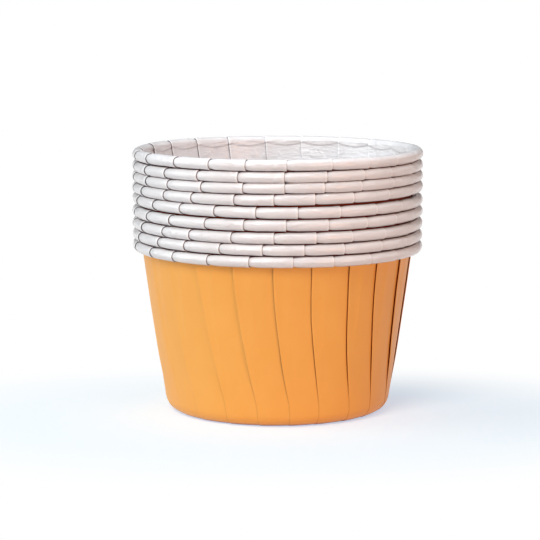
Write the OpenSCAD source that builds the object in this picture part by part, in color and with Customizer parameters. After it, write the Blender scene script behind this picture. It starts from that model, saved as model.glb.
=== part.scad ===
/* [Liner] */
// Diameter over the rolled rim
rim_d = 66; // [60:0.5:75]
// Height of one liner
liner_h = 39; // [30:0.5:50]
// Diameter at the foot, where the line of the wall meets the table
foot_d = 50.6; // [44:0.2:54]
// Outside radius of the rounded edge between base and wall
corner_r = 3.4; // [2:0.1:5]

/* [Rolled rim] */
// Diameter of the roll
roll_d = 2.4; // [2:0.1:3.2]
// Angle from the roll's outermost line, down and in, to the edge of the paper
roll_end_a = 130; // [100:5:150]

/* [Paper and pleats] */
// Thickness of the paper
paper_t = 0.16; // [0.12:0.01:0.2]
// Number of pleats round a liner
pleats = 22; // [16:1:28]
// Width that a pleat laps over at the rim
lap_w = 4.2; // [2:0.1:6]
// Height of a lap over the paper beside it, on either face
lap_t = 0.05; // [0.03:0.01:0.08]
// Distance that a lap stops short of the bends at the base and the rim
lap_end = 0.6; // [0.4:0.1:2]
// Width of the joint between two panels on the roll
joint_w = 0.2; // [0.1:0.05:0.4]
// Depth of that joint, less than the paper's thickness
joint_t = 0.06; // [0.04:0.01:0.08]

/* [Stack] */
// Least gap between one rolled rim and the next
rim_gap = 0.22; // [0.1:0.02:1]
// Least gap between the wall of one liner and the next
wall_gap = 0.1; // [0.06:0.02:0.4]

/* [Hidden] */
$fn = 96;

// Angle that each liner is turned by, from the lowest liner up
turn_a = [5, -6, -2, 3, -7, -2, 1, 0, 4];

// Radius of the roll, and its centre in the section
roll_r = roll_d/2;
roll_x = rim_d/2 - roll_r;
roll_z = liner_h - roll_r;

// Lean of the wall, from the foot to where its inside runs into the roll
foot_to_roll = norm([roll_x - foot_d/2, roll_z]);
wall_a = acos((roll_r - paper_t) / foot_to_roll) - atan2(roll_z, roll_x - foot_d/2);

// Centre of the rounded edge, which touches the table and the wall
corner_x = foot_d/2 - corner_r * tan((90 - wall_a)/2);
wall_l = (roll_z - corner_r) * cos(wall_a) + (roll_x - corner_x) * sin(wall_a);

// One pleat's share of the circle, its lap at the rim, and the lean of its folded edge
pleat_a = 360 / pleats;
lap_a = asin(lap_w / (roll_x - roll_r));
fold_lean_a = atan(lap_w / roll_z);

// A liner sinks into the one below until their rims or their walls meet
stack_step = max(roll_d + rim_gap, (paper_t + 2*lap_t + wall_gap) / sin(wall_a));

// Size of the block that cuts a lap, larger than a liner
block = 2 * max(rim_d, liner_h);

// Slice of the plane from one angle to another, further out than r
module slice(r, from_a, to_a) {
    steps = 4;
    angles = [for (k = [0:steps]) from_a + (to_a - from_a) * k/steps];
    polygon([[0, 0], for (a = angles) 2*r * [cos(a), sin(a)]]);
}

// Flat base and its rounded edge
module foot_section() {
    square([corner_x, paper_t]);
    translate([corner_x, corner_r]) intersection() {
        difference() {
            circle(corner_r);
            circle(corner_r - paper_t);
        }
        slice(corner_r, -90, -wall_a);
    }
}

// Straight wall, with each face moved out by extra and each end short by that much
module wall_section(extra, short) {
    translate([roll_x, roll_z]) rotate(-wall_a)
        translate([-roll_r - extra, short - wall_l]) square([paper_t + 2*extra, wall_l - 2*short]);
}

// Paper rolled outward, drawn in line with the wall that it goes on from
// It stays open at the inner side, where its edge stands clear of the wall
module roll_section() {
    translate([roll_x, roll_z]) rotate(-wall_a) difference() {
        circle(roll_r);
        circle(roll_r - paper_t);
        slice(roll_r, 180, 360 - roll_end_a + wall_a);
    }
}

// Lap of a pleat on the wall: nothing at the foot, lap_w wide at the rim
module wall_lap() {
    intersection() {
        rotate([0, 0, -lap_a - fold_lean_a]) rotate_extrude(angle = lap_a + fold_lean_a) wall_section(lap_t, lap_end);
        rotate([fold_lean_a, 0, 0]) translate([0, 0, -block/2]) cube(block);
    }
}

// Joint on the top and outside of the roll, where the panel of one pleat ends on the next
module roll_joint() {
    translate([roll_x, 0, roll_z]) rotate([90, 0, 0]) intersection() {
        difference() {
            cylinder(r = roll_r + paper_t, h = joint_w, center = true);
            cylinder(r = roll_r - joint_t, h = 2*joint_w, center = true);
        }
        translate([-roll_r/2, -roll_d, -joint_w]) cube([2*roll_d, 2*roll_d, 2*joint_w]);
    }
}

// One liner, standing on the table
module liner() {
    difference() {
        union() {
            rotate([0, 0, pleat_a/2]) rotate_extrude() {
                foot_section();
                wall_section(0, 0);
                roll_section();
            }
            for (i = [0 : pleats - 1]) rotate([0, 0, i * pleat_a]) wall_lap();
        }
        for (i = [0 : pleats - 1]) rotate([0, 0, i * pleat_a]) roll_joint();
    }
}

// Liner number n of the stack, counted from the lowest, with the front at -Y
module stacked(n) {
    translate([0, 0, (n - 1) * stack_step]) rotate([0, 0, turn_a[n - 1] - 90]) liner();
}

module liner_1() { color("#f0a850") stacked(1); }
module liner_2() { color("#f6f3ee") stacked(2); }
module liner_3() { color("#f6f3ee") stacked(3); }
module liner_4() { color("#f6f3ee") stacked(4); }
module liner_5() { color("#f6f3ee") stacked(5); }
module liner_6() { color("#f6f3ee") stacked(6); }
module liner_7() { color("#f6f3ee") stacked(7); }
module liner_8() { color("#f6f3ee") stacked(8); }
module liner_9() { color("#f6f3ee") stacked(9); }

liner_1();
liner_2();
liner_3();
liner_4();
liner_5();
liner_6();
liner_7();
liner_8();
liner_9();
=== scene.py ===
# %% [markdown]
# A stack of nine cupcake liners. Each liner is one disc of paper, orange on the
# outside and film-laminated white on the inside. A die gathers the disc into 22
# pleats, presses it into a cup and rolls its edge outward. The liners are nested
# until the rolled rims all but touch.
#
# The CAD frame holds the size and place of each liner. Here each one is made again
# as a single folded sheet, because the folds and the thin edges are what the eye
# sees. This cell loads the frame.

# %% Load the frame
import math
import bpy
import numpy as np
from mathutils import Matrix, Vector


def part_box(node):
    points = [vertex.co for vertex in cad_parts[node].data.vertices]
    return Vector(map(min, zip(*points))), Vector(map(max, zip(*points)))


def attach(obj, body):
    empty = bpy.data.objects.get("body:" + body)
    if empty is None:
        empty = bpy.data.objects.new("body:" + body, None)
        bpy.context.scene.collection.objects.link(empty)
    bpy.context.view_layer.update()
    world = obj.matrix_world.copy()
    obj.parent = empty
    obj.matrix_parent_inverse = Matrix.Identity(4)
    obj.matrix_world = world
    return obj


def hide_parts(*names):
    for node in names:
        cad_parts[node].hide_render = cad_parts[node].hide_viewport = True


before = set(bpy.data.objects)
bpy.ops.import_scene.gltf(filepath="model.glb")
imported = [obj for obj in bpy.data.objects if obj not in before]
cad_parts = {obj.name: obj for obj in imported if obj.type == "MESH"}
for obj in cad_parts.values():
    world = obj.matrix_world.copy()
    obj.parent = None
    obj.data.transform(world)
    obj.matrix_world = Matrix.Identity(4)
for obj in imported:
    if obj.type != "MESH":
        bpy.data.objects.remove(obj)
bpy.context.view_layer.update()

MM = 0.001


# %% [markdown]
# The sizes of one liner, in millimetres. The width and height of a liner, and the
# step from one liner to the next, come from the frame. The others repeat the CAD's.
# A liner is thought of as one sheet whose middle runs along a section: flat base,
# rounded edge, straight wall, and the roll at the rim. A single sheet is half as
# thick as the CAD's even wall, because three layers of it lie on each other where a
# pleat laps, and the liners are nested closely.

# %% Sizes of a liner
lowest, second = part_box("liner_1"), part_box("liner_2")
RIM_D = round((lowest[1][0] - lowest[0][0]) / MM, 1)
HEIGHT = round((lowest[1][2] - lowest[0][2]) / MM, 1)
STEP = round((second[0][2] - lowest[0][2]) / MM, 2)

FOOT_D = 50.6
CORNER_R = 3.4
ROLL_D = 2.4
ROLL_END = math.radians(130)
CAD_PAPER = 0.16
PLEATS = 22
LAP = 4.2

# Thickness of one sheet, and the height that a folded layer stands off the middle
PAPER = 0.08
LAYER = 0.09

roll_r = ROLL_D / 2
roll_x, roll_z = RIM_D / 2 - roll_r, HEIGHT - roll_r
run = roll_x - FOOT_D / 2
wall_lean = math.acos((roll_r - CAD_PAPER) / math.hypot(run, roll_z)) - math.atan2(roll_z, run)
corner_x = FOOT_D / 2 - CORNER_R * math.tan((math.pi / 2 - wall_lean) / 2)
print("width, height and step, mm:", RIM_D, HEIGHT, STEP)
print("wall leans", round(math.degrees(wall_lean), 2), "degrees")

# %% [markdown]
# The section is written as points with a normal for each. The normal points to the
# orange face: down at the base, out at the wall, and to the roll's own centre where
# the paper curls over. The top and the lowest liner are seen from close by, so their
# columns and rows stand closer than those of the seven between them, which show no
# more than a rim.

# %% Section of the sheet
# Radius where the grid starts, with a plain disc inside it
BASE_RING = 19.0
# The roll closes in by this much as it curls
ROLL_TUCK = 0.02
TUCK_ANGLE = 1.0
# Above this share of the wall the rows stand closer, for the crease under the roll
DENSE_FROM = 0.95


def smooth(t):
    """0 below 0, 1 above 1, and an even curve between."""
    t = np.clip(t, 0.0, 1.0)
    return t * t * (3 - 2 * t)


def section(base_rows, corner_rows, wall_rows, roll_rows):
    """Points (r, z) of the sheet's middle, their normals, and the first row of the roll."""
    mid = CAD_PAPER / 2
    rows, normals = [], []
    for r in np.linspace(BASE_RING, corner_x, base_rows, endpoint=False):
        rows.append((r, mid))
        normals.append((0.0, -1.0))
    bend_r = CORNER_R - mid
    for a in np.linspace(-math.pi / 2, -wall_lean, corner_rows, endpoint=False):
        rows.append((corner_x + bend_r * math.cos(a), CORNER_R + bend_r * math.sin(a)))
        normals.append((math.cos(a), math.sin(a)))
    out = np.array([math.cos(wall_lean), -math.sin(wall_lean)])
    foot = np.array([corner_x, CORNER_R]) + bend_r * out
    top = np.array([roll_x, roll_z]) - (roll_r - mid) * out
    dense = wall_rows // 2
    shares = [np.linspace(0, DENSE_FROM, wall_rows - dense, endpoint=False),
              np.linspace(DENSE_FROM, 1, dense, endpoint=False)]
    for t in np.concatenate(shares):
        rows.append(tuple(foot + (top - foot) * t))
        normals.append(tuple(out))
    for a in np.linspace(math.pi - wall_lean, -ROLL_END, roll_rows):
        r = roll_r - mid - ROLL_TUCK * smooth((math.pi - wall_lean - a) / TUCK_ANGLE)
        rows.append((roll_x + r * math.cos(a), roll_z + r * math.sin(a)))
        normals.append((-math.cos(a), -math.sin(a)))
    return np.array(rows), np.array(normals), base_rows + corner_rows + wall_rows


def along_section(rows):
    """Distance along the section of each row, in millimetres."""
    return np.concatenate([[0], np.cumsum(np.hypot(*np.diff(rows, axis=0).T))])


# Rows of base, rounded edge, wall and roll. Places of the columns across a lap,
# a panel and the layer inside a pleat, as shares of their width, and columns of a fold
FINE = {"rows": (3, 9, 27, 30), "fold": 4, "lap": [0, 0.07, 0.16, 0.3, 0.6, 0.93, 1],
        "panel": [0.05, 0.16, 0.4, 0.7, 0.95], "inside": [0, 0.2, 0.5, 0.8, 1]}
COARSE = {"rows": (2, 4, 7, 24), "fold": 3, "lap": [0, 0.12, 0.4, 0.93, 1],
          "panel": [0.06, 0.2, 0.55, 0.94], "inside": [0, 0.5, 1]}

rows, normals, wall_end = section(*FINE["rows"])
print("section points:", len(rows), "of which on the roll:", len(rows) - wall_end)
print("length of paper from middle to edge, mm:", round(along_section(rows)[-1] + BASE_RING, 1))

# %% [markdown]
# A pleat is a Z-fold. Going round the cup, the paper doubles back at each joint, and
# comes forward again: panel, fold, middle layer, fold, next panel. Outside, the next
# panel lies on top and its folded edge faces left. Inside, the old panel lies on top
# and its folded edge faces right, and the roll turns that inner face outward, so
# the rims show a joint like the one between two tiles.
#
# The lap is widest at the rim and runs out to almost nothing at the rounded edge,
# because the disc has no paper to spare there. The folded edge leans as it goes down.
# Each joint is a little off its even place, with seeded random numbers.

# %% Where the folds run
PITCH = 2 * math.pi / PLEATS

# Width of a crease, and the height where it starts to widen to a lap
CREASE = 0.35
LAP_FOOT = 4.2
# Ring of the base over which the creases run out
BASE_FADE = 2.2
# Leaning of a fold from the rim to the foot, how late it bends off, and its small kink
JOINT_OFF = math.radians(1.3)
LEAN, LEAN_OFF = math.radians(8.2), math.radians(1.4)
LEAN_POWER = (1.6, 2.5)
KINK = math.radians(0.45)
KINK_LEVEL = (0.25, 0.8)
KINK_REACH = 0.3


def fold_lines(rows, wall_end, joint_phase, rng):
    """Angles of the outer and inner folds, a row for each point of the section, and the lap's width."""
    r, z = rows[:, 0], rows[:, 1]
    up = np.clip((np.clip(z, 0, roll_z) - LAP_FOOT) / (roll_z - LAP_FOOT), 0, 1)
    up[wall_end:] = 1.0
    lap = (CREASE + (LAP - CREASE) * up) * smooth((r - BASE_RING) / BASE_FADE)
    joints = joint_phase + PITCH * np.arange(PLEATS) + JOINT_OFF * rng.uniform(-1, 1, PLEATS)
    lean = LEAN + LEAN_OFF * rng.uniform(-1, 1, PLEATS)
    power = rng.uniform(*LEAN_POWER, PLEATS)
    kink_level = rng.uniform(*KINK_LEVEL, PLEATS)
    kink = KINK * rng.uniform(-1, 1, PLEATS)
    level = up[:, None]
    bend = kink * np.clip(1 - np.abs(level - kink_level) / KINK_REACH, 0, 1)
    outer = joints - LAP / roll_x + lean * (1 - level) ** power + bend
    return outer, outer + (lap / r)[:, None], lap


outer, inner, lap = fold_lines(rows, wall_end, 0.0, np.random.default_rng(1))
print("lap at the foot and the rim, mm:", round(lap[sum(FINE["rows"][:2])], 2), round(lap[-1], 2))

# %% [markdown]
# The sheet is a grid. A row is one point of the section, and a column follows one
# line of paper from the base to the edge. The columns stand closest at the folds,
# which are small half circles. Each grid point is moved off the section along its
# normal by the height of the layer it belongs to, and the folds stand a little open,
# as folded board does. That slot is the dark line beside each pleat, in its own
# shadow and in painted shade.
#
# Each column also has a painted shading mark for either face, which the materials read.
# Where it is above zero it paints shade: where the paper lies hidden in a pleat and in
# the slot of a fold. On the inside it is below zero along the edge of a fold, where it
# paints a pale highlight.

# %% Columns of one pleat
# Distances from a fold over which the paper comes down from it, is dented, and is painted with a
# highlight
LIFT_REACH = 1.1
DENT_REACH = 0.3
HIGHLIGHT_REACH = 0.16
# On the roll a panel comes down from its lap within this width, and on the wall over all of it
ROLL_RAMP = 1.8
# Share of a lap's width from which it is hidden by the panel over it and painted in shade
HIDDEN_FROM = 0.6
# How soon the painted shade of a slot's dark line ends on the outside, and how strong the painted
# highlight along a fold of the inside is
FOLD_FADE = 1.3
FOLD_HIGHLIGHT = 0.55


def bell(distance, width):
    """1 at the fold, falling to nothing a few widths away."""
    return np.exp(-(distance / width) ** 2)


def pleat_columns(i, outer, inner, r, sizes, detail):
    """Angle, height over the section and two painted shading marks of every column of pleat i, for all
    rows.
    """
    layer, lift_out, lift_next, lift_in, dent_out, dent_in, on_roll = sizes
    j = (i + 1) % PLEATS
    turn = 2 * math.pi if j == 0 else 0.0
    start, end, back = outer[:, i], inner[:, j] + turn, outer[:, j] + turn
    first, last = inner[:, i] - start, end - back
    middle = back - start - first
    half = layer / 2
    fold = np.arange(1, detail["fold"] + 1) * math.pi / (detail["fold"] + 1)
    columns = []

    # The fold on the outside, and the lap from it to the fold under it
    for a in fold:
        height = lift_out + half - half * math.cos(a)
        columns.append((start - half * math.sin(a) / r, height, 1 - FOLD_FADE * a / math.pi, 0))
    for f in detail["lap"]:
        before, after = f * first * r, (1 - f) * first * r
        height = layer + lift_out * bell(before, LIFT_REACH) + dent_in * bell(after, DENT_REACH)
        columns.append((start + first * f, height, 0, f >= HIDDEN_FROM))

    # The panel, which goes down from the outermost layer to the innermost
    for f in detail["panel"]:
        before, after = f * middle * r, (1 - f) * middle * r
        fall = (1 - on_roll) * smooth(f) + on_roll * smooth(before / ROLL_RAMP)
        dents = dent_in * bell(before, DENT_REACH) - dent_out * bell(after, DENT_REACH)
        height = layer * (1 - 2 * fall) + dents
        columns.append((start + first + middle * f, height, 0, 0))

    # The lap under the next panel, the fold on the inside, and the layer that goes back
    # On the inside a mark below zero paints a pale highlight along the fold's edge.
    for f in reversed(detail["lap"]):
        before, after = f * last * r, (1 - f) * last * r
        height = -layer - lift_in * bell(before, LIFT_REACH) - dent_out * bell(after, DENT_REACH)
        columns.append((end - last * f, height, f >= HIDDEN_FROM, -FOLD_HIGHLIGHT * bell(before, HIGHLIGHT_REACH)))
    for a in fold:
        height = -lift_in - half - half * math.cos(a)
        columns.append((end + half * math.sin(a) / r, height, 0, (1 + FOLD_HIGHLIGHT) * a / math.pi - FOLD_HIGHLIGHT))
    for f in detail["inside"]:
        before, after = f * last * r, (1 - f) * last * r
        height = lift_next * bell(after, LIFT_REACH) - lift_in * bell(before, LIFT_REACH)
        columns.append((end - last * f, height, 1, 1))
    return [np.stack([column[k] + np.zeros_like(r) for column in columns], axis=1) for k in range(4)]


trial = pleat_columns(0, outer, inner, rows[:, 0], [LAYER, 0.1, 0.1, 0.1, 0.05, 0.05, 1], FINE)
print("columns of one pleat:", trial[0].shape[1])

# %% [markdown]
# Paper isn't even. Rolling leaves fine creases along the rim and a scalloped crease
# on the inside, just under the roll, where each panel first bends. The wall waves a
# few hundredths of a millimetre. These are sums of a few seeded sine waves, which
# are cheap, repeat round the cup without a seam, and stay small.

# %% Unevenness
# Waves of the wall: how many, how many turns of each go round, their length and height
WALL_WAVES = {"count": 6, "turns": (5, 40), "length": (9, 30), "size": 0.012}
# The rim is a little out of round, and a little out of level
RIM_FROM = 0.55
ROUND_WAVES = {"count": 3, "turns": (2, 6), "length": (50, 60), "size": 0.03}
RIM_WAVE = 0.05
# The scalloped crease: its place below the roll, its depth in the paper and its dark line of painted
# shade
SCALLOP_TOP, SCALLOP_DROP, SCALLOP_DRIFT = 0.35, 0.75, 0.15
SCALLOP, SCALLOP_BEND, SCALLOP_FADE = 0.13, 0.34, 2.2
SCALLOP_MARK, SCALLOP_LINE = 0.45, 0.13
# Fine creases along the roll: height, length, and how far each tile's are shifted. The
# last number makes the shifts of neighbouring tiles differ widely
RIPPLE, RIPPLE_LENGTH, RIPPLE_SHIFT = 0.018, 0.95, 2.4
TILE_STEP = 12.9


def waves(angle, along, rng, count, turns, length, size):
    """Seeded sum of sine waves round the cup and along the section, about `size` high."""
    total = np.zeros_like(angle)
    for _ in range(count):
        k = rng.integers(turns[0], turns[1] + 1)
        total += np.sin(k * angle + along * 2 * math.pi / rng.uniform(*length) + rng.uniform(0, 6.28))
    return size * total / math.sqrt(count)


def scallops(angle, phase, number):
    """Place of the scalloped crease along the section, from the start of the roll."""
    arches = np.abs(np.sin((angle - phase) * PLEATS / 2))
    return -SCALLOP_TOP - SCALLOP_DROP * arches - SCALLOP_DRIFT * np.sin(3 * angle + number)


def ripple(angle, past, phase, number):
    """Height of the fine creases on the roll, which differ from tile to tile."""
    tile = np.floor((angle - phase) / PITCH)
    shift = RIPPLE_SHIFT * np.sin(tile * TILE_STEP + number)
    return RIPPLE * np.sin(past * 2 * math.pi / RIPPLE_LENGTH + shift)


trial = scallops(np.linspace(0, PITCH, 5), 0, 1)
print("scalloped crease below the roll, mm:", round(-trial.max(), 2), "to", round(-trial.min(), 2))

# %% [markdown]
# Now one liner. Its pleats are put side by side, and the unevenness is added. Then
# the grid of middle points gets its own normals from its neighbours, which also turn
# round the folds, and the two faces lie half a paper either side of it. The outer
# face takes the orange, the inner face the white, and a narrow strip closes the
# paper's edge inside the roll. A disc closes the base.

# %% One liner
# The random numbers of each liner start from this and its number
SEED = 20
# Share of its height that a layer has in a crease, and the widths of the lap from which
# the layers and the openings of the folds have their full height
LAYER_START, LAYER_LAP = 0.12, 1.6
FULL_LAP = 1.2
# How far a fold stands open on the roll, and how deep the paper is dented beside folds
ROLL_OPEN = 0.045
DENT_OUT = 0.03
DENT_IN_ROLL, DENT_IN_WALL = 0.08, 0.04
# Folds stand open by these shares of the full size
OUT_SHARE, IN_SHARE = (0.7, 1.3), (0.6, 1.4)
# Strength of the painted shading where a pleat is no more than a crease
MARK_START = 0.35
# Painted shade on the outside between the rims, from this far below the roll's centre
SHADE, SHADE_DROP = 1.6, 4.0
# The wall waves from the foot up, in full from this share of its height
WAVES_FULL = 1 / 4
# A crease is pressed thinner than a pleat, down to this share of the paper
THINNEST = 0.3
TINY = 1e-9


def liner_sheet(name, number, phase, lift_out, lift_in, in_stack, detail):
    """One liner as a folded sheet of paper with an orange and a white face."""
    rng = np.random.default_rng(SEED + number)
    rows, normals, wall_end = section(*detail["rows"])
    outer, inner, lap = fold_lines(rows, wall_end, phase, rng)
    r, z = rows[:, 0], rows[:, 1]
    on_roll = np.where(np.arange(len(rows)) >= wall_end, 1.0, 0.0)

    # Heights of the layers and of the slots of the folds, then all pleats side by side
    off_base = smooth((r - BASE_RING) / BASE_FADE)
    full = smooth((lap - CREASE) / FULL_LAP)
    layer = LAYER * np.clip(LAYER_START + lap / LAYER_LAP, 0, 1) * off_base
    open_out = np.where(on_roll, 0, lift_out) * full
    open_in = np.where(on_roll, ROLL_OPEN, lift_in) * full
    dent_out = np.where(on_roll, 0, DENT_OUT) * full
    dent_in = np.where(on_roll, DENT_IN_ROLL, DENT_IN_WALL) * full
    out_share, in_share = rng.uniform(*OUT_SHARE, PLEATS), rng.uniform(*IN_SHARE, PLEATS)
    pleats = []
    for i in range(PLEATS):
        slots = [open_out * out_share[i], open_out * out_share[(i + 1) % PLEATS], open_in * in_share[i]]
        sizes = [layer, *slots, dent_out, dent_in, on_roll]
        pleats.append(pleat_columns(i, outer, inner, r, sizes, detail))
    angle, height, out_shading, in_shading = (np.hstack(p) for p in zip(*pleats))

    # Unevenness along the paper
    s = along_section(rows)[:, None]
    past = s - s[wall_end]
    up = np.clip(z / roll_z, 0, 1)[:, None]
    crease = scallops(angle, phase, number)
    tuck = smooth((past - crease) / SCALLOP_BEND + 0.5) * (1 - smooth(past / SCALLOP_FADE))
    height = height + waves(angle, s, rng, **WALL_WAVES) * smooth(up / WAVES_FULL) - SCALLOP * tuck
    height = height + ripple(angle, past, phase, number) * on_roll[:, None]

    # Places in space, with the rim a little out of round and out of level
    rim = smooth((up - RIM_FROM) / (1 - RIM_FROM))
    sway = np.sin(3 * angle + number) + np.sin(5 * angle + 2.1 * number)
    radius = r[:, None] + normals[:, :1] * height + rim * waves(angle, 0, rng, **ROUND_WAVES)
    level = z[:, None] + normals[:, 1:] * height + rim * RIM_WAVE / 2 * sway
    grid = np.stack([radius * np.sin(angle), -radius * np.cos(angle), level], axis=-1)
    thick = PAPER * np.clip(layer / LAYER, THINNEST, 1)[:, None, None]

    # Painted shading: shade in slots, hidden laps, the scalloped crease and between nested rims; below
    # zero on the inside, a highlight along the folds.
    strength = (MARK_START * off_base + (1 - MARK_START) * full)[:, None]
    shade = SHADE * in_stack * smooth(z - roll_z + SHADE_DROP)[:, None]
    marks = [np.maximum(out_shading * strength, shade),
             in_shading * strength + SCALLOP_MARK * bell(past - crease, SCALLOP_LINE)]
    return sheet_mesh(name, grid, thick, marks)


def sheet_mesh(name, grid, thick, marks):
    """A closed sheet round a grid that wraps in its columns, with the painted shading marks of both
    faces.
    """
    m, n = grid.shape[:2]
    across = np.roll(grid, -1, 1) - np.roll(grid, 1, 1)
    along = np.empty_like(grid)
    along[1:-1] = grid[2:] - grid[:-2]
    along[0], along[-1] = grid[1] - grid[0], grid[-1] - grid[-2]
    normal = np.cross(across, along)
    size = np.linalg.norm(normal, axis=-1, keepdims=True)
    normal = np.where(size > TINY, normal / np.maximum(size, TINY), [0.0, 0.0, -1.0])
    outside, inside = grid + normal * thick / 2, grid - normal * thick / 2
    middles = [[0, 0, face[0, 0, 2]] for face in (outside, inside)]
    points = np.concatenate([outside.reshape(-1, 3), inside.reshape(-1, 3), middles])

    # Points are numbered row by row: the outside, the inside, then the middles of the base
    j, i = np.meshgrid(np.arange(m - 1), np.arange(n), indexing="ij")
    here, beside = j * n + i, j * n + (i + 1) % n
    quads = np.stack([here, beside, beside + n, here + n], -1).reshape(-1, 4)
    ring = np.arange(n)
    ring_next = (ring + 1) % n
    top, top_next = ring + (m - 1) * n, ring_next + (m - 1) * n
    to_inside = m * n
    edge = np.stack([top, top_next, top_next + to_inside, top + to_inside], -1)
    disc_out = np.stack([np.full(n, 2 * m * n), ring_next, ring], -1)
    disc_in = np.stack([np.full(n, 2 * m * n + 1), ring + to_inside, ring_next + to_inside], -1)
    orange = quads.tolist() + disc_out.tolist()
    white = (quads[:, ::-1] + to_inside).tolist() + disc_in.tolist() + edge.tolist()

    mesh = bpy.data.meshes.new(name)
    mesh.from_pydata((points * MM).tolist(), [], orange + white)
    mesh.polygons.foreach_set("material_index", [0] * len(orange) + [1] * len(white))
    mesh.polygons.foreach_set("use_smooth", [True] * len(mesh.polygons))
    values = np.concatenate([marks[0].ravel(), marks[1].ravel(), [0, 0]])
    mesh.attributes.new("crease", "FLOAT", "POINT").data.foreach_set("value", values)
    mesh.update()
    return bpy.data.objects.new(name, mesh)


print("random numbers start from", SEED)

# %% [markdown]
# The stack. The joints of one liner lie anywhere over those of the next, so each
# liner is turned by its own angle, measured on the photograph to half a degree. Nor do
# the rims sit in even steps. Each has a height, a rise to the right and a rise to the
# back, in millimetres: measured to 0.05 mm at the front, and guessed at the back.
#
# The folds stand open outward on the lowest liner and inward on the top one, where
# nothing presses on them. Between, they are closed.

# %% The stack
JOINT_PHASE = [5, -5.5, -2, 3.5, -7.5, -1.5, 2, 1.5, 4.5]
SIT = [-0.05, -0.05, -0.1, 0, 0.1, 0.25, 0.1, -0.1, -0.2]
RIGHT_UP = [-0.2, -0.2, -0.1, -0.05, -0.2, 0.15, 0.1, 0.1, 0.05]
BACK_UP = [0.1, 0.1, 0.1, 0.05, 0, 0, 0, 0.1, 0.05]
# How far the folds stand open on the lowest liner's outside and the top liner's inside
OPEN_OUT, OPEN_IN = 0.22, 0.14
# Share of the wall's height from which a liner gives way to how its rim sits
SIT_FROM = 0.6


def seat(obj, k):
    """Puts a liner on the k-th step and its rim at its own height and tilt."""
    co = np.empty(len(obj.data.vertices) * 3)
    obj.data.vertices.foreach_get("co", co)
    co = co.reshape(-1, 3)
    rim = smooth((co[:, 2] / MM / roll_z - SIT_FROM) / (1 - SIT_FROM))
    tilt = (RIGHT_UP[k] * co[:, 0] + BACK_UP[k] * co[:, 1]) / (RIM_D / 2 * MM)
    co[:, 2] += (k * STEP + (SIT[k] + tilt) * rim) * MM
    obj.data.vertices.foreach_set("co", co.ravel())
    obj.data.update()


liners = []
last_k = len(JOINT_PHASE) - 1
for k, phase in enumerate(JOINT_PHASE):
    lift_out, lift_in = OPEN_OUT if k == 0 else 0.0, OPEN_IN if k == last_k else 0.0
    detail = FINE if k in (0, last_k) else COARSE
    obj = liner_sheet(f"paper_{k + 1}", k + 1, math.radians(phase), lift_out, lift_in, k > 0, detail)
    seat(obj, k)
    bpy.context.scene.collection.objects.link(obj)
    liners.append(obj)
    print(obj.name, len(obj.data.polygons) * 2, "triangles or fewer")

# %% [markdown]
# Materials. One function turns a written colour into the linear numbers that Blender
# works in, and one adds a node with its settings and links. The others make what both
# papers use: a noise of a given size, and tints that paint shade in creases and gaps and
# a pale highlight along folds.


# %% Helpers for materials
def linear(hex_colour):
    """An sRGB colour such as "#f2a040" as linear RGBA."""
    srgb = [int(hex_colour[i:i + 2], 16) / 255 for i in (1, 3, 5)]
    return [c / 12.92 if c <= 0.04045 else ((c + 0.055) / 1.055) ** 2.4 for c in srgb] + [1.0]


def add(tree, kind, settings=None, links=None, **attributes):
    """Adds one node: attributes first, then socket values, then links from other nodes' outputs."""
    node = tree.nodes.new(kind)
    for key, value in attributes.items():
        setattr(node, key, value)
    for key, value in (settings or {}).items():
        node.inputs[key].default_value = value
    for key, output in (links or {}).items():
        tree.links.new(output, node.inputs[key])
    return node


def new_material(name):
    """An empty node material, its node tree and its output node."""
    material = bpy.data.materials.new(name)
    material.use_nodes = True
    material.node_tree.nodes.clear()
    return material, material.node_tree, add(material.node_tree, "ShaderNodeOutputMaterial")


def noise(tree, place, size, detail, roughness=0.5):
    """Even noise with features of about `size` millimetres."""
    settings = {"Scale": 1 / (size * MM), "Detail": detail, "Roughness": roughness}
    return add(tree, "ShaderNodeTexNoise", settings, {"Vector": place}).outputs["Fac"]


def ramp(tree, factor, dark, light):
    """Goes from one colour to another over the middle of a noise."""
    node = add(tree, "ShaderNodeValToRGB", links={"Fac": factor})
    for stop, at, colour in zip(node.color_ramp.elements, (0.3, 0.7), (dark, light)):
        stop.position, stop.color = at, linear(colour)
    return node.outputs["Color"]


def bump(tree, height, strength, distance, normal=None):
    """Bends the normal by a height of up to `distance` millimetres, on top of another bump if given."""
    links = {"Height": height, "Normal": normal} if normal else {"Height": height}
    settings = {"Strength": strength, "Distance": distance * MM}
    return add(tree, "ShaderNodeBump", settings, links).outputs["Normal"]


def times(tree, value, factor):
    """A value times a fixed number."""
    return add(tree, "ShaderNodeMath", {1: factor}, {0: value}, operation="MULTIPLY").outputs["Value"]


def tint(tree, colour, factor, hex_colour):
    """Goes from a colour to a fixed one by a factor, which is kept from 0 to 1."""
    mix = add(tree, "ShaderNodeMix", links={"Factor": factor, "A": colour}, data_type="RGBA")
    mix.inputs["B"].default_value = linear(hex_colour)
    return mix.outputs["Result"]


def crevice_shade(tree, open_at, closed_at):
    """Mask of painted shade: 0 on an open surface and 1 deep in a fold or gap, from how much lies open
    within 0.8 mm.
    """
    reach = add(tree, "ShaderNodeAmbientOcclusion", {"Distance": 0.8 * MM}, samples=8)
    limits = {"From Min": open_at, "From Max": closed_at}
    return add(tree, "ShaderNodeMapRange", limits, {"Value": reach.outputs["AO"]},
               interpolation_type="SMOOTHSTEP").outputs["Result"]


print("orange in linear light:", [round(c, 3) for c in linear("#f29a3c")])
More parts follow.
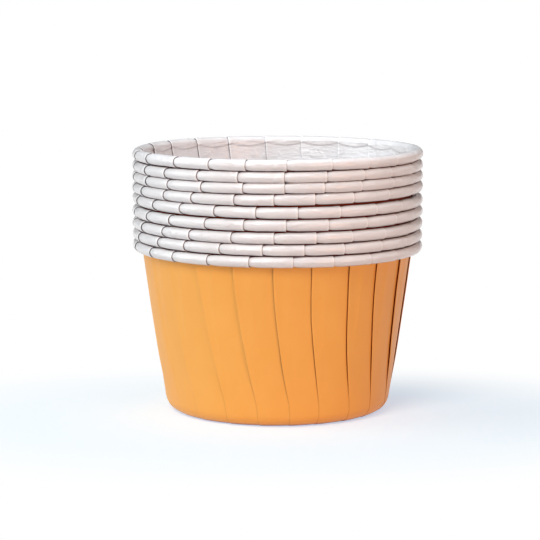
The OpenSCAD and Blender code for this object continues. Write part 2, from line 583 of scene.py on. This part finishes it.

# %% [markdown]
# The outside is bleached greaseproof paper, printed all over in orange and
# calendered, that is pressed smooth between rollers. It has a satin face: a broad,
# soft shine, and under it a faint cloudiness from the fibres, a few millimetres
# across. Paper's IOR is near 1.5 and its roughness near 0.5.
#
# Painted shade: the shading mark darkens the orange inside a pleat and behind the rims.
# Deep gaps are painted red brown, the colour of light that has gone from orange paper to orange paper.


# %% Orange calendered paper
def orange_calendered_paper():
    material, tree, out = new_material("orange_calendered_paper")
    place = add(tree, "ShaderNodeTexCoord").outputs["Object"]
    cloud = noise(tree, place, 6, 3.0, 0.55)
    rough = add(tree, "ShaderNodeMapRange", {"To Min": 0.42, "To Max": 0.52}, {"Value": cloud})
    fibres = bump(tree, noise(tree, place, 0.5, 4.0), 0.12, 0.02)
    mark = add(tree, "ShaderNodeAttribute", attribute_name="crease").outputs["Fac"]
    colour = ramp(tree, cloud, "#f5ab4b", "#f7af51")
    # Painted shade: the mark darkens the orange in slots, hidden laps and between the rims, and the
    # occlusion mask paints deep gaps red brown.
    colour = tint(tree, colour, times(tree, mark, 0.6), "#741812")
    colour = tint(tree, colour, crevice_shade(tree, 0.75, 0.15), "#ac3414")
    shader = add(tree, "ShaderNodeBsdfPrincipled", {"IOR": 1.5}, {
        "Base Color": colour, "Roughness": rough.outputs["Result"], "Normal": fibres})
    tree.links.new(shader.outputs["BSDF"], out.inputs["Surface"])
    return material


orange_paper = orange_calendered_paper()
print("made", orange_paper.name)

# %% [markdown]
# The inside is the same paper with a clear film laminated to it. The film gives the
# white a cool, close shine and turns every crinkle of the rolled rim into a thin
# highlight. Here and there it has come off the paper in a flat blister. The film is a
# coat on the shader: smoother than the paper under it.


# %% White laminated paper
def white_laminated_paper():
    material, tree, out = new_material("white_laminated_paper")
    place = add(tree, "ShaderNodeTexCoord").outputs["Object"]
    flat = add(tree, "ShaderNodeMapping", {"Scale": (1.0, 1.0, 4.0)}, {"Vector": place}).outputs["Vector"]
    crinkles = bump(tree, noise(tree, flat, 2.2, 3.0), 0.9, 0.18)
    blister = add(tree, "ShaderNodeMapRange", {"From Min": 0.56, "From Max": 0.70},
                  {"Value": noise(tree, place, 3.2, 2.0)}, interpolation_type="SMOOTHSTEP")
    normal = bump(tree, blister.outputs["Result"], 0.8, 0.10, crinkles)
    mark = add(tree, "ShaderNodeAttribute", attribute_name="crease").outputs["Fac"]
    colour = ramp(tree, noise(tree, place, 5, 3.0), "#dfdcdd", "#e4e2e3")
    # Painted shade greys hidden layers and the scalloped crease, a painted highlight whitens the inner
    # fold edges, and the occlusion mask paints deep gaps dark maroon.
    colour = tint(tree, colour, mark, "#a09698")
    colour = tint(tree, colour, times(tree, mark, -1.0), "#ffffff")
    colour = tint(tree, colour, crevice_shade(tree, 0.45, 0.1), "#6a2c34")
    paper = {"IOR": 1.5, "Roughness": 0.42}
    film = {"Coat Weight": 0.7, "Coat Roughness": 0.12, "Coat IOR": 1.5}
    shader = add(tree, "ShaderNodeBsdfPrincipled", paper | film, {
        "Base Color": colour, "Normal": normal, "Coat Normal": normal})
    tree.links.new(shader.outputs["BSDF"], out.inputs["Surface"])
    return material


white_paper = white_laminated_paper()
print("made", white_paper.name)

# %% [markdown]
# Each sheet takes both papers, the orange first, since its faces are numbered so. It
# rides on the one body and stands for the CAD solid of its liner, which it hides.

# %% Dress the liners
for k, obj in enumerate(liners):
    obj.data.materials.append(orange_paper)
    obj.data.materials.append(white_paper)
    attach(obj, "root")
    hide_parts(f"liner_{k + 1}")
print("dressed", len(liners), "liners")

# %% [markdown]
# The floor is matt white. What the camera, a reflection or a clear thing sees of it is
# partly lit by the lamps and partly white by itself, mixed so that the floor comes out
# white and its shadow pale and blue. Far from the stack it goes over into plain white,
# as in the photograph.


# %% Floor
FLOOR_HALF = 8.0
# Distances in metres from the stack over which the shadow runs out into plain white
SHADOW_TO, WHITE_FROM = 0.026, 0.070
LIT_PART = (0.68, 0.67, 0.58, 1.0)
OWN_PART = (0.42, 0.53, 0.65, 1.0)


def seen_floor(tree, place):
    """The floor as the camera sees it."""
    to_shadow = {"Location": (0, 0.015, 0), "Scale": (0.6, 1.0, 1.0)}
    shifted = add(tree, "ShaderNodeMapping", to_shadow, {"Vector": place})
    away = add(tree, "ShaderNodeVectorMath", links={0: shifted.outputs["Vector"]}, operation="LENGTH")
    far = add(tree, "ShaderNodeMapRange", {"From Min": SHADOW_TO, "From Max": WHITE_FROM},
              {"Value": away.outputs["Value"]}, interpolation_type="SMOOTHSTEP")
    lit = add(tree, "ShaderNodeBsdfDiffuse", {"Color": LIT_PART})
    own = add(tree, "ShaderNodeEmission", {"Color": OWN_PART, "Strength": 1.0})
    near = add(tree, "ShaderNodeAddShader", links={0: lit.outputs["BSDF"], 1: own.outputs["Emission"]})
    white = add(tree, "ShaderNodeEmission", {"Strength": 1.0})
    return add(tree, "ShaderNodeMixShader", links={
        0: far.outputs["Result"], 1: near.outputs["Shader"], 2: white.outputs["Emission"]})


def matt_white_floor():
    material, tree, out = new_material("matt_white_floor")
    place = add(tree, "ShaderNodeTexCoord").outputs["Object"]
    tone = add(tree, "ShaderNodeMix", links={"Factor": noise(tree, place, 30, 2.0)}, data_type="RGBA")
    tone.inputs["A"].default_value, tone.inputs["B"].default_value = linear("#e9ecf1"), linear("#eceef2")
    matt = add(tree, "ShaderNodeBsdfDiffuse", links={"Color": tone.outputs["Result"]})
    rays = add(tree, "ShaderNodeLightPath")
    looked_at = rays.outputs["Is Camera Ray"]
    for kind in ("Is Glossy Ray", "Is Transmission Ray"):
        both_kinds = {0: looked_at, 1: rays.outputs[kind]}
        looked_at = add(tree, "ShaderNodeMath", links=both_kinds, operation="MAXIMUM").outputs["Value"]
    both = add(tree, "ShaderNodeMixShader", links={
        0: looked_at, 1: matt.outputs["BSDF"], 2: seen_floor(tree, place).outputs["Shader"]})
    tree.links.new(both.outputs["Shader"], out.inputs["Surface"])
    return material


corners = [(x * FLOOR_HALF, y * FLOOR_HALF, 0) for x, y in ((-1, -1), (1, -1), (1, 1), (-1, 1))]
floor_mesh = bpy.data.meshes.new("floor")
floor_mesh.from_pydata(corners, [], [(0, 1, 2, 3)])
floor = bpy.data.objects.new("floor", floor_mesh)
bpy.context.scene.collection.objects.link(floor)
floor_mesh.materials.append(matt_white_floor())
print("floor", 2 * FLOOR_HALF, "m wide")

# %% [markdown]
# Light. The photograph has one large soft light from the front and left, a little
# above. A wide lamp at the left gives the satin wall its pale shine, and a warm one
# low at the right lights the side that faces away from the key lamp, without a shine.
# The lamp above fills the inside of the top liner. It lights only the liners, so that
# the floor keeps its shadow.


# %% Lamps
AIM = Vector((0, 0, 0.03))


def soft_lamp(name, place, width, watts, colour, shine=1.0):
    """A round lamp aimed at the stack. Its shine is how much of it shows in reflections."""
    lamp = bpy.data.lights.new(name, "AREA")
    lamp.shape, lamp.size, lamp.energy = "DISK", width, watts
    lamp.color = linear(colour)[:3]
    lamp.specular_factor = shine
    obj = bpy.data.objects.new(name, lamp)
    obj.location = place
    obj.rotation_mode = "QUATERNION"
    obj.rotation_quaternion = (AIM - Vector(place)).to_track_quat("-Z", "Y")
    bpy.context.scene.collection.objects.link(obj)
    return obj


soft_lamp("key_lamp", (-0.38, -0.84, 0.72), 0.6, 5.9, "#fcffff")
soft_lamp("side_lamp", (-1.10, -0.10, 0.35), 0.9, 5.5, "#faffff", 2.0)
soft_lamp("fill_lamp", (0.66, -0.76, 0.06), 0.6, 5.2, "#ffb27c", 0.0)
top_lamp = soft_lamp("top_lamp", (0.02, -0.12, 0.95), 0.7, 7.2, "#f0f8ff", 0.3)
over_stack = bpy.data.collections.new("over_stack")
for obj in liners:
    over_stack.objects.link(obj)
top_lamp.light_linking.receiver_collection = over_stack

# %% [markdown]
# The world is the room: a plain, dim light from all round. The camera sees plain
# white in its place, the photograph's background.

# %% World
ROOM = 0.27

world = bpy.data.worlds.new("studio")
bpy.context.scene.world = world
world.use_nodes = True
sky = world.node_tree
sky.nodes.clear()
rays = add(sky, "ShaderNodeLightPath")
room = add(sky, "ShaderNodeBackground", {"Strength": ROOM})
backdrop = add(sky, "ShaderNodeBackground", {"Color": (1.0, 1.0, 1.0, 1.0)})
choose = add(sky, "ShaderNodeMixShader", links={
    0: rays.outputs["Is Camera Ray"], 1: room.outputs["Background"], 2: backdrop.outputs["Background"]})
add(sky, "ShaderNodeOutputWorld", links={"Surface": choose.outputs["Shader"]})
print("room light", ROOM)

# %% [markdown]
# The camera stands where the photographer's did: half a metre off, eight degrees
# above the level, with a long lens. The place comes from fitting the rims' ellipses
# and the wall's edges in the photograph.

# %% Camera
CAMERA_PLACE = (-0.0017, -0.5034, 0.1020)
LOOKS_DOWN = math.radians(7.96)
LENS = 147.96

lens = bpy.data.cameras.new("camera")
lens.lens, lens.sensor_width = LENS, 36
lens.clip_start, lens.clip_end = 0.01, 50
camera = bpy.data.objects.new("camera", lens)
camera.location = CAMERA_PLACE
camera.rotation_euler = (math.radians(90) - LOOKS_DOWN, 0, 0)
bpy.context.scene.collection.objects.link(camera)
bpy.context.scene.camera = camera
bpy.context.scene.view_settings.view_transform = "Standard"
print("camera at", CAMERA_PLACE)
